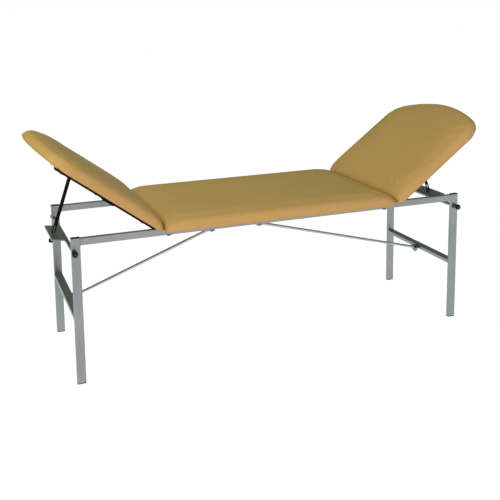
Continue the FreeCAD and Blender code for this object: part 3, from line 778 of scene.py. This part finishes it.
@dataclass(frozen=True)
class EdgeForm:
    """How a pad's side hangs over its board, rises and rolls over into its top."""

    under: float = 13 * MM
    lip: float = 4.5 * MM
    lip_rise: float = 0.3
    lip_tuck: float = 0.2
    inset: float = -0.5 * MM
    widest: float = 6.5 * MM
    roll: float = 43 * MM
    fullness: float = 2.35
    low_corner: float = 25 * MM
    high_corner: float = 58 * MM
    inner_reach: float = 4 * MM
    sag: float = 3.5 * MM
    sag_shares: Triple = (1.0, 0.75, 0.3)
    sag_start: float = 242 * MM
    sag_band: float = 26 * MM
    steps: int = 9

    def levels(self, thick: float, reaching: bool) -> list[Level]:
        """Levels from the underside to the shoulder.

        Args:
            thick: Height of the shoulder above the underside.
            reaching: Whether the inner edge reaches further in low down.

        Returns:
            The levels.
        """
        reach = self.inner_reach if reaching else 0.0
        at_lip, above_lip, at_widest = self.sag_shares
        levels = [
            Level(0.0, self.inset + self.under, self.low_corner, reach),
            Level(0.0, self.inset + self.lip, self.low_corner, reach, at_lip),
            Level(self.widest * self.lip_rise, self.inset + self.lip * self.lip_tuck, self.low_corner, reach,
                  above_lip),
        ]
        for step in range(self.steps):
            turn = step / (self.steps - 1) * math.pi / 2
            out = math.cos(turn) ** (2 / self.fullness)
            rise = math.sin(turn) ** (2 / self.fullness)
            height = self.widest + (thick - self.widest) * rise
            corner = self.low_corner + (self.high_corner - self.low_corner) * rise
            sag = at_widest if step == 0 else 0.0
            levels.append(Level(height, self.inset + self.roll * (1 - out), corner, reach * (1 - rise), sag))
        return levels

    def hang(self, across: float) -> float:
        """How far the lip may hang below the board at a place across the table."""
        beyond = min(max((abs(across) - self.sag_start) / self.sag_band, 0.0), 1.0)
        return self.sag * beyond * beyond * (3 - 2 * beyond)

    def ring(self, outline: list[Vector], level: Level, base: float) -> list[Vector]:
        """An outline at its height above the pad's base, let down where it hangs beyond the rails."""
        return [Vector((point.x, point.y, base + level.height - level.sag * self.hang(point.y)))
                for point in outline]


@dataclass
class Pad:
    """A foam pad in tight vinyl on its board, swelled by a cloth simulation."""

    name: str
    rings: list[list[Vector]]
    edge: EdgeForm
    crown: float = 2.5 * MM
    crown_shares: tuple[float, ...] = (0.93, 0.8, 0.6, 0.35)
    voxel: float = 6 * MM
    held_band: float = 4 * MM
    swell_cap: float = 4 * MM
    pressure: float = 4.0
    frames: int = 20
    rounds: int = 12
    smoothing: Pair = (0.5, -0.52)

    def build(self) -> bpy.types.Mesh:
        """Make the swelled mesh, flat about the pad's own origin."""
        piece = linked(self.name, self._shell())
        modifier = piece.modifiers.new("even", "REMESH")
        modifier.mode = "VOXEL"
        modifier.voxel_size = self.voxel
        piece.data = applied(piece, modifier)
        self._swell(piece)
        mesh = piece.data
        bpy.data.objects.remove(piece)
        return smooth(mesh)

    def _shell(self) -> bpy.types.Mesh:
        """Closed form: the rings rise to the shoulder, and smaller copies of the last form the crown."""
        rings = [[tuple(point) for point in ring] for ring in self.rings]
        shoulder = self.rings[-1]
        middle = sum(shoulder, Vector((0, 0, 0))) / len(shoulder)
        for share in self.crown_shares:
            lift = Vector((0, 0, self.crown * (1 - share ** 2)))
            rings.append([tuple(middle + (point - middle) * share + lift) for point in shoulder])
        count = len(shoulder)
        faces = [list(range(count))[::-1]]
        for level in range(len(rings) - 1):
            low = level * count
            high = low + count
            for i in range(count):
                following = (i + 1) % count
                faces.append([low + i, low + following, high + following, high + i])
        faces.append([(len(rings) - 1) * count + i for i in range(count)])
        mesh = bpy.data.meshes.new(self.name)
        mesh.from_pydata([vertex for ring in rings for vertex in ring], [], faces)
        outward(mesh)
        return mesh

    def _swell(self, piece: bpy.types.Object) -> None:
        """Blow the pad up as cloth held along its underside, and cap how far a point moves."""
        base = self.rings[0][0].z
        before = np.array([vertex.co for vertex in piece.data.vertices])
        held = piece.vertex_groups.new(name="held")
        held.add([i for i, point in enumerate(before) if point[2] < base + self.held_band], 1.0, "REPLACE")
        modifier = piece.modifiers.new("cloth", "CLOTH")
        settings = modifier.settings
        settings.use_pressure = True
        settings.uniform_pressure_force = self.pressure
        settings.vertex_group_mass = "held"
        settings.quality = 4
        settings.effector_weights.gravity = 0.0
        modifier.collision_settings.use_collision = False
        modifier.collision_settings.use_self_collision = False
        scene = bpy.context.scene
        for number in range(1, self.frames + 1):
            scene.frame_set(number)
        piece.data = applied(piece, modifier)
        scene.frame_set(1)
        move = np.array([vertex.co for vertex in piece.data.vertices]) - before
        length = np.linalg.norm(move, axis=1)
        safe = np.maximum(length, 1e-9)
        limit = self.swell_cap * np.tanh(safe / self.swell_cap) / safe
        points = self._smoothed(piece.data, before + move * limit[:, None])
        for point in points:
            point[2] = max(point[2], base - self.edge.hang(point[1]))
        piece.data.vertices.foreach_set("co", points.astype(np.float32).ravel())
        piece.data.update()
        log.info("%s swelled by up to %.1f mm", self.name, float(length.max()) * 1000)

    def _smoothed(self, mesh: bpy.types.Mesh, points: np.ndarray) -> np.ndarray:
        """The mesh's points with the voxel steps evened out."""
        edges = np.array([edge.vertices for edge in mesh.edges])
        count = np.zeros(len(points))
        np.add.at(count, edges[:, 0], 1)
        np.add.at(count, edges[:, 1], 1)
        for share in self.smoothing * self.rounds:
            total = np.zeros_like(points)
            np.add.at(total, edges[:, 0], points[edges[:, 1]])
            np.add.at(total, edges[:, 1], points[edges[:, 0]])
            points = points + share * (total / count[:, None] - points)
        return points


@dataclass
class Upholstery:
    """The three pads and what shows of their cover under the boards."""

    finishes: Finishes
    fasteners: Fasteners
    edge: EdgeForm = field(default_factory=EdgeForm)
    arm_top: float = 7.5 * MM
    lift: float = 0.6 * MM
    room: float = 1.5 * MM
    fold_width: float = 34 * MM
    fold_thick: float = 0.3 * MM
    staple_share: float = 0.7

    def build(self) -> None:
        """Make the pads and their folds."""
        low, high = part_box("seat_pad")
        size = high - low
        thick = size.z - self.lift - self.room
        insets = (self.edge.inset + self.edge.under, self.fold_width)
        self._seat(size, thick, low.z, insets)
        self._sections(SectionShape(width=size.y), thick, insets)

    def _seat(self, size: Vector, thick: float, base: float, insets: Pair) -> None:
        """The fixed middle pad, and its fold between two insets."""
        rings = [self.edge.ring(Outline.seat(size.x, size.y, level.corner, level.inset), level,
                                base + self.lift)
                 for level in self.edge.levels(thick, reaching=False)]
        mesh = Pad("seat_cushion", rings, self.edge).build()
        self._declare(linked("seat_cushion", mesh, self.finishes.of(Look.VINYL)), "frame", "seat_pad")
        fold = [Outline.seat(size.x, size.y, self.edge.low_corner, inset) for inset in insets]
        self._fold("seat_cover_fold", fold, Matrix.Translation((0, 0, base)), "frame")

    def _sections(self, shape: SectionShape, thick: float, insets: Pair) -> None:
        """The two pads that swing up, one mesh mirrored for the other end, and their folds."""
        base = self.arm_top + self.lift
        rings = [self.edge.ring(Outline.section(shape, level.corner, level.inset, level.reach), level, base)
                 for level in self.edge.levels(thick, reaching=True)]
        flat = Pad("section_cushion", rings, self.edge).build()
        fold = [Outline.section(shape, self.edge.low_corner, inset, 0.0) for inset in insets]
        for end in End:
            place = SectionFrame(end).matrix()
            mesh = flat.copy()
            placed(mesh, place)
            piece = linked(f"section_cushion_{end.word}", mesh, self.finishes.of(Look.VINYL))
            self._declare(piece, f"section_{end.word}", f"section_pad_{end.word}")
            level = place @ Matrix.Translation((0, 0, self.arm_top))
            self._fold(f"section_cover_fold_{end.word}", fold, level, f"section_{end.word}")

    def _declare(self, piece: bpy.types.Object, body: str, node: str) -> None:
        """Tie a pad to its body, and hide the node it stands in for."""
        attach(piece, body)
        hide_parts(node)
        log.info("%s has %d faces", piece.name, len(piece.data.polygons))

    def _fold(self, name: str, edges: list[list[Vector]], place: Matrix, body: str) -> None:
        """The cover turned under the board and stapled to it.

        Args:
            name: The piece's name.
            edges: The outer and inner outline of the fold.
            place: Brings a point from under the board to its place.
            body: The body it rides on.
        """
        outer, inner = edges
        count = len(outer)
        mesh = bpy.data.meshes.new(name)
        vertices = [(p.x, p.y, z) for ring in edges for z in (0.0, -self.fold_thick) for p in ring]
        top_out, low_out, top_in, low_in = (count * level for level in range(4))
        faces = []
        for i in range(count):
            j = (i + 1) % count
            faces.append((low_out + j, low_out + i, low_in + i, low_in + j))
            faces.append((top_out + i, top_out + j, top_in + j, top_in + i))
            faces.append((top_out + j, top_out + i, low_out + i, low_out + j))
            faces.append((top_in + i, top_in + j, low_in + j, low_in + i))
        mesh.from_pydata(vertices, [], faces)
        outward(mesh)
        placed(mesh, place)
        piece = linked(name, mesh, self.finishes.of(Look.VINYL))
        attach(piece, body)
        path = [a.lerp(b, self.staple_share) for a, b in zip(outer, inner)]
        points = [place @ Vector((p.x, p.y, -self.fold_thick)) for p in path]
        down = (place.to_3x3() @ Vector((0, 0, -1))).normalized()
        carrier = path_carrier([points], [down] * count, closed=True)
        piece = self.fasteners.staple.run(carrier, name.replace("cover_fold", "staples"))
        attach(piece, body)


@dataclass
class FrameDetails:
    """Weld beads and bolts of the fixed frame."""

    finishes: Finishes
    fasteners: Fasteners
    bead: float = 1.4 * MM
    margin: float = 2 * MM
    lug_margin: float = 1 * MM
    bolt_flats: float = 10 * MM
    bolt_high: float = 4 * MM
    grip: float = 7 * MM
    brace_flat: float = 4 * MM
    rail_bolts: Pair = (-268 * MM, -90 * MM)
    eye_place: float = 716 * MM
    eye_under: float = 8 * MM

    def build(self) -> None:
        """Make the frame's welds and bolts."""
        self._welds()
        self._bolts()

    def _welds(self) -> None:
        """Beads where the tubes meet."""
        edge = self.margin
        paths: list[list[Vector]] = []
        for depth in ("front", "rear"):
            low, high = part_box(f"side_rail_{depth}")
            paths += [[Vector((x, low.y + edge, low.z)), Vector((x, high.y - edge, low.z))]
                      for x in (low.x, high.x)]
        for end in End:
            low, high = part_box(f"low_cross_bar_{end.word}")
            paths += [[Vector((low.x + edge, y, z)), Vector((high.x - edge, y, z))]
                      for y in (low.y, high.y) for z in (low.z, high.z)]
            low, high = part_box(f"seat_cross_bar_{end.word}")
            for y in (low.y, high.y):
                paths.append([Vector((low.x + edge, y, low.z)), Vector((high.x - edge, y, low.z))])
                paths += [[Vector((x, y, low.z + edge)), Vector((x, y, high.z - edge))]
                          for x in (low.x, high.x)]
            paths += self._lug_paths(end)
        piece = self.fasteners.weld.run(path_carrier(paths), "frame_welds", bead_radius=self.bead)
        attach(piece, "frame")
        log.info("frame welds: %d paths", len(paths))

    def _lug_paths(self, end: End) -> list[list[Vector]]:
        """Beads along both faces of a brace's gusset, beside and under its cross bar."""
        bar_low, bar_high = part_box(f"low_cross_bar_{end.word}")
        lug_low, lug_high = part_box("brace_lugs")
        inner, outer = (bar_high.x, lug_low.x) if end is End.LEFT else (bar_low.x, lug_high.x)
        paths = []
        for y in (lug_low.y, lug_high.y):
            corner = Vector((inner, y, bar_low.z))
            paths.append([corner, Vector((inner, y, lug_high.z - self.lug_margin))])
            paths.append([corner, Vector((outer - end.value * self.lug_margin, y, bar_low.z))])
        return paths

    def _bolts(self) -> None:
        """Hexagon bolts under the seat, and at both ends of each brace, in place of the plain ones."""
        rail_low, rail_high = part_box("side_rail_front")
        low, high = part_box("seat_bolts")
        down = Vector((0, 0, -1))
        corner = self.bolt_flats / math.sqrt(3)
        half = self.bolt_flats / 2
        places = [(Vector((x, y, rail_low.z)), down)
                  for x in (low.x + corner, high.x - corner) for y in (low.y + half, high.y - half)]
        self._bolt_piece("seat_bolts", places, Look.DARK_STEEL)
        middle = (rail_low.y + rail_high.y) / 2
        places = [(Vector((x, middle, rail_low.z - self.brace_flat)), down) for x in self.rail_bolts]
        lug_low, lug_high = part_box("brace_lugs")
        for end in End:
            eye = Vector((end.value * self.eye_place, 0, lug_high.z - self.eye_under))
            places.append((eye + Vector((0, lug_low.y - self.brace_flat, 0)), Vector((0, -1, 0))))
            places.append((eye + Vector((0, lug_high.y, 0)), Vector((0, 1, 0))))
        self._bolt_piece("brace_bolts", places, Look.ZINC)

    def _bolt_piece(self, node: str, places: list[Place], look: Look) -> None:
        """Dress a node's bolts, given where each head stands and which way it faces."""
        name = f"{node}_dressed"
        piece = self.fasteners.bolt.run(point_carrier(places), name, head_height=self.bolt_high,
                                        shank_length=self.grip)
        piece.data.materials.clear()
        piece.data.materials.append(self.finishes.of(look))
        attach(piece, "frame")
        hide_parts(node)
        log.info("%s: %d places", name, len(places))


@dataclass
class SectionDetails:
    """Screws and weld beads under one end section."""

    fasteners: Fasteners
    end: End
    arm_side: float = 214.5 * MM
    arm_half: float = 7.5 * MM
    screw_places: Triple = (60 * MM, 250 * MM, 385 * MM)
    strap_edges: Pair = (177.5 * MM, 222.5 * MM)
    carrier_edges: Pair = (282 * MM, 297 * MM)
    ear_faces: Pair = (3.0 * MM, 6.0 * MM)
    bead: float = 1.0 * MM
    margin: float = 2 * MM
    short_margin: float = 1.5 * MM

    def build(self) -> None:
        """Make the section's screws and welds."""
        where = SectionFrame(self.end)
        down = where.matrix().to_3x3() @ Vector((0, 0, -1))
        word = self.end.word
        places = [(where.place(s, side * self.arm_side, -self.arm_half), down)
                  for s in self.screw_places for side in (-1, 1)]
        screws = self.fasteners.screw.run(point_carrier(places), f"section_screws_dressed_{word}")
        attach(screws, f"section_{word}")
        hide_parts(f"section_screws_{word}")
        paths = [[where.place(*point) for point in path] for side in (-1, 1) for path in self._paths(side)]
        welds = self.fasteners.strap_weld.run(path_carrier(paths), f"section_welds_{word}",
                                              bead_radius=self.bead)
        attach(welds, f"section_{word}")

    def _paths(self, side: int) -> list[tuple[Triple, Triple]]:
        """Beads at one side that hold the strap, the cross tube and an ear, seen from the flat hinge."""
        low = -self.arm_half
        inner = side * (self.arm_side - self.arm_half)
        short = self.short_margin
        outer = side * (self.arm_side + self.arm_half - short)
        start, stop = self.carrier_edges
        paths = [((edge, inner + side * short, low), (edge, outer, low)) for edge in self.strap_edges]
        paths += [((edge, inner, low + self.margin), (edge, inner, -low - self.margin))
                  for edge in self.carrier_edges]
        paths.append(((start + self.margin, inner, low), (stop - self.margin, inner, low)))
        paths += [((stop, side * face, low + short), (stop, side * face, -low - short))
                  for face in self.ear_faces]
        return paths


@dataclass
class LockDetails:
    """What dresses a lock: beads on its plate, its knobs, and the ball on the end of its strut."""

    finishes: Finishes
    fasteners: Fasteners
    end: End
    beads: tuple[Pair, Pair] = ((7.2 * MM, 2.0 * MM), (5.3 * MM, 6.1 * MM))
    bead: float = 1.3 * MM
    margin: float = 2 * MM
    ball_steps: int = 20
    collar_radius: float = 5.6 * MM
    collar_rise: float = 10.4 * MM
    collar_edge: float = 0.6 * MM
    knob_radius: float = 10.5 * MM
    knob_hub: float = 7.5 * MM
    knob_thick: float = 12 * MM
    knob_foot: tuple[Pair, ...] = ((5.5, 0.0), (1.5, 0.0), (0.4, 0.5), (0.0, 1.5))
    knob_dome: tuple[Pair, ...] = ((0.0, 4.0), (0.4, 2.6), (1.5, 1.5), (2.6, 0.6), (4.0, 0.0), (4.8, 0.0),
                                   (5.2, 0.4), (5.4, 1.1))
    flute_depth: float = 0.9 * MM
    fluted_beyond: float = 8.8 * MM
    spacer_radius: float = 6.2 * MM
    spacer_edge: float = 0.5 * MM

    def build(self) -> None:
        """Make the beads, the ball and the knobs."""
        word = self.end.word
        tube_low, tube_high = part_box(f"lock_tube_{word}")
        plate_low, plate_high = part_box(f"lock_plate_{word}")
        middle = (tube_low + tube_high) / 2
        sides = (plate_low.y + self.margin, plate_high.y - self.margin)
        paths = [[Vector((middle.x + self.end.value * out, y, middle.z + rise)) for y in sides]
                 for out, rise in self.beads]
        piece = self.fasteners.weld.run(path_carrier(paths), f"lock_weld_{word}", bead_radius=self.bead)
        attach(piece, f"lock_{word}")
        self._ball()
        self._knobs()

    def _ball(self) -> None:
        """Moulded ball with a collar round the strut."""
        word = self.end.word
        low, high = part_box(f"strut_knob_{word}")
        pin_low, pin_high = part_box(f"strut_pin_{word}")
        centre = (low + high) / 2
        radius = (high.y - low.y) / 2
        last = math.pi - math.asin(self.collar_radius / radius)
        turns = [last * step / self.ball_steps for step in range(1, self.ball_steps + 1)]
        profile = [(radius * math.sin(turn), -radius * math.cos(turn)) for turn in turns]
        profile.append((self.collar_radius, self.collar_rise - self.collar_edge))
        profile.append((self.collar_radius - self.collar_edge, self.collar_rise))
        name = f"strut_ball_{word}"
        mesh = Turned(profile).mesh(name, [(centre, (pin_low + pin_high) / 2 - centre)])
        piece = linked(name, mesh, self.finishes.of(Look.PLASTIC))
        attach(piece, f"strut_{word}")
        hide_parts(f"strut_knob_{word}")
        log.info("%s: %d faces", name, len(mesh.polygons))

    def _knobs(self) -> None:
        """Fluted knobs at both ends of the shaft, each on a bright spacer."""
        word = self.end.word
        nodes = (f"lock_knob_front_{word}", f"lock_knob_rear_{word}")
        places = []
        for node, side in zip(nodes, (-1, 1)):
            low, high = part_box(node)
            middle = (low + high) / 2
            middle.y = high.y if side < 0 else low.y
            places.append((middle, Vector((0, side, 0))))
        top = self.knob_hub + self.knob_thick
        profile = [(self.knob_radius - into * MM, self.knob_hub + up * MM) for into, up in self.knob_foot]
        profile += [(self.knob_radius - into * MM, top - down * MM) for into, down in self.knob_dome]
        grips = Turned(profile, sides=96, flutes=12, flute_depth=self.flute_depth,
                       fluted_beyond=self.fluted_beyond)
        name = f"lock_grips_{word}"
        piece = linked(name, grips.mesh(name, places), self.finishes.of(Look.PLASTIC))
        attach(piece, f"lock_{word}")
        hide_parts(*nodes)
        wide, edge = self.spacer_radius, self.spacer_edge
        long = self.knob_hub
        profile = [(wide - edge, 0.0), (wide, edge), (wide, long - edge), (wide - edge, long)]
        name = f"lock_spacers_{word}"
        piece = linked(name, Turned(profile).mesh(name, places), self.finishes.of(Look.ZINC))
        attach(piece, f"lock_{word}")


@dataclass(frozen=True)
class Lamp:
    """A soft square lamp that reflections don't show."""

    name: str
    place: Triple
    size: float
    power: float
    colour: Triple

    def build(self, aim: Vector) -> None:
        """Put the lamp in the scene, facing a point."""
        data = bpy.data.lights.new(self.name, "AREA")
        data.size = self.size
        data.energy = self.power
        data.color = self.colour
        lamp = bpy.data.objects.new(self.name, data)
        bpy.context.scene.collection.objects.link(lamp)
        lamp.location = self.place
        lamp.rotation_euler = (aim - Vector(self.place)).to_track_quat("-Z", "Y").to_euler()
        lamp.visible_glossy = False


@dataclass
class Studio:
    """Camera, lights, floor and background."""

    place: Triple = (-1.1277, -2.796, 1.268)
    yaw: float = 0.3761
    pitch: float = 0.1548
    roll: float = -0.011
    focal_pixels: float = 798.41
    axis_pixel: Pair = (251.28, 125.0)
    picture: float = 500.0
    sensor: float = 36.0
    aim: Triple = (0.0, 0.0, 0.5)
    lamps: tuple[Lamp, ...] = (
        Lamp("front_lamp", (-0.4, -4.0, 0.7), 2.2, 131.0, (0.9, 0.68, 1.0)),
        Lamp("top_lamp", (-2.0, -0.4, 2.7), 2.0, 52.0, (0.94, 1.0, 0.66)),
    )
    ambient: Triple = (0.86, 1.0, 0.93)
    ambient_strength: float = 0.5
    floor_half: float = 12.0
    floor_glow: float = 1.08
    floor_share: float = 0.9

    def build(self) -> None:
        """Set up the view and the light."""
        self._camera()
        self._world()
        for lamp in self.lamps:
            lamp.build(Vector(self.aim))
        self._floor()
        bpy.context.scene.view_settings.view_transform = "Standard"

    def _camera(self) -> None:
        """Camera at the photograph's angle."""
        data = bpy.data.cameras.new("camera")
        data.sensor_width = self.sensor
        data.lens = self.focal_pixels * self.sensor / self.picture
        data.shift_x = (self.picture / 2 - self.axis_pixel[0]) / self.picture
        data.shift_y = (self.axis_pixel[1] - self.picture / 2) / self.picture
        camera = bpy.data.objects.new("camera", data)
        bpy.context.scene.collection.objects.link(camera)
        aimed = Matrix.Rotation(-self.yaw, 4, "Z") @ Matrix.Rotation(math.pi / 2 - self.pitch, 4, "X")
        camera.matrix_world = Matrix.Translation(self.place) @ aimed @ Matrix.Rotation(self.roll, 4, "Z")
        bpy.context.scene.camera = camera

    def _world(self) -> None:
        """Soft light from all round, a dim room in reflections, and white behind the object."""
        world = bpy.data.worlds.new("studio")
        world.use_nodes = True
        bpy.context.scene.world = world
        shader = Tree(world.node_tree)
        path = shader.add("ShaderNodeLightPath").outputs
        place = shader.add("ShaderNodeTexCoord").outputs["Generated"]
        split = shader.add("ShaderNodeSeparateXYZ", {"Vector": place})
        room = shader.ramp(split.outputs["Z"], (0.02, (0.4, 0.4, 0.4)), (0.15, (0.1, 0.14, 0.12)))
        grounds = [{"Color": (*self.ambient, 1), "Strength": self.ambient_strength},
                   {"Color": room}, {"Color": (1, 1, 1, 1)}]
        ambient, mirrored, white = (shader.add("ShaderNodeBackground", feeds).outputs[0] for feeds in grounds)
        glossy = shader.maths("MAXIMUM", path["Is Glossy Ray"], path["Is Transmission Ray"])
        lit = shader.blend(glossy, ambient, mirrored)
        shader.add("ShaderNodeOutputWorld", {"Surface": shader.blend(path["Is Camera Ray"], lit, white)})

    def _floor(self) -> None:
        """Pale floor that is white from above, keeps a soft shadow, and is clear from below."""
        mesh = bpy.data.meshes.new("floor")
        half = self.floor_half
        corners = [(-half, -half, 0), (half, -half, 0), (half, half, 0), (-half, half, 0)]
        mesh.from_pydata(corners, [], [(0, 1, 2, 3)])
        floor = linked("floor", mesh)
        material = bpy.data.materials.new("floor_white")
        material.use_nodes = True
        shader = Tree(material.node_tree)
        path = shader.add("ShaderNodeLightPath").outputs
        place = shader.add("ShaderNodeTexCoord").outputs["Object"]
        split = shader.add("ShaderNodeSeparateXYZ", {"Vector": place})
        along = shader.maths("MULTIPLY_ADD", split.outputs["X"], 0.5, 0.5)
        tint = shader.ramp(along, (0.0, (0.78, 0.8, 0.82)), (1.0, (0.77, 0.84, 0.8)))
        tone = shader.mix(path["Is Camera Ray"], tint, (1, 1, 1, 1))
        white = shader.add("ShaderNodeEmission", {"Color": tone, "Strength": self.floor_glow})
        matt = shader.add("ShaderNodeBsdfDiffuse", {"Color": (0.9, 0.9, 0.9, 1)})
        seen = shader.maths("MAXIMUM", path["Is Camera Ray"], path["Is Glossy Ray"])
        share = shader.times(seen, self.floor_share)
        above = shader.blend(share, matt.outputs["BSDF"], white.outputs["Emission"])
        clear = shader.add("ShaderNodeBsdfTransparent")
        behind = shader.add("ShaderNodeNewGeometry").outputs["Backfacing"]
        sided = shader.blend(behind, above, clear.outputs["BSDF"])
        shader.add("ShaderNodeOutputMaterial", {"Surface": sided})
        mesh.materials.append(material)


def main() -> None:
    """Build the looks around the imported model."""
    logging.basicConfig(level=logging.INFO, format="%(name)s: %(message)s")
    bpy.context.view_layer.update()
    Studio().build()
    finishes = Finishes()
    finishes.dress_nodes()
    fasteners = Fasteners(finishes)
    Upholstery(finishes, fasteners).build()
    FrameDetails(finishes, fasteners).build()
    for end in End:
        SectionDetails(fasteners, end).build()
        LockDetails(finishes, fasteners, end).build()


if __name__ == "__main__":
    main()
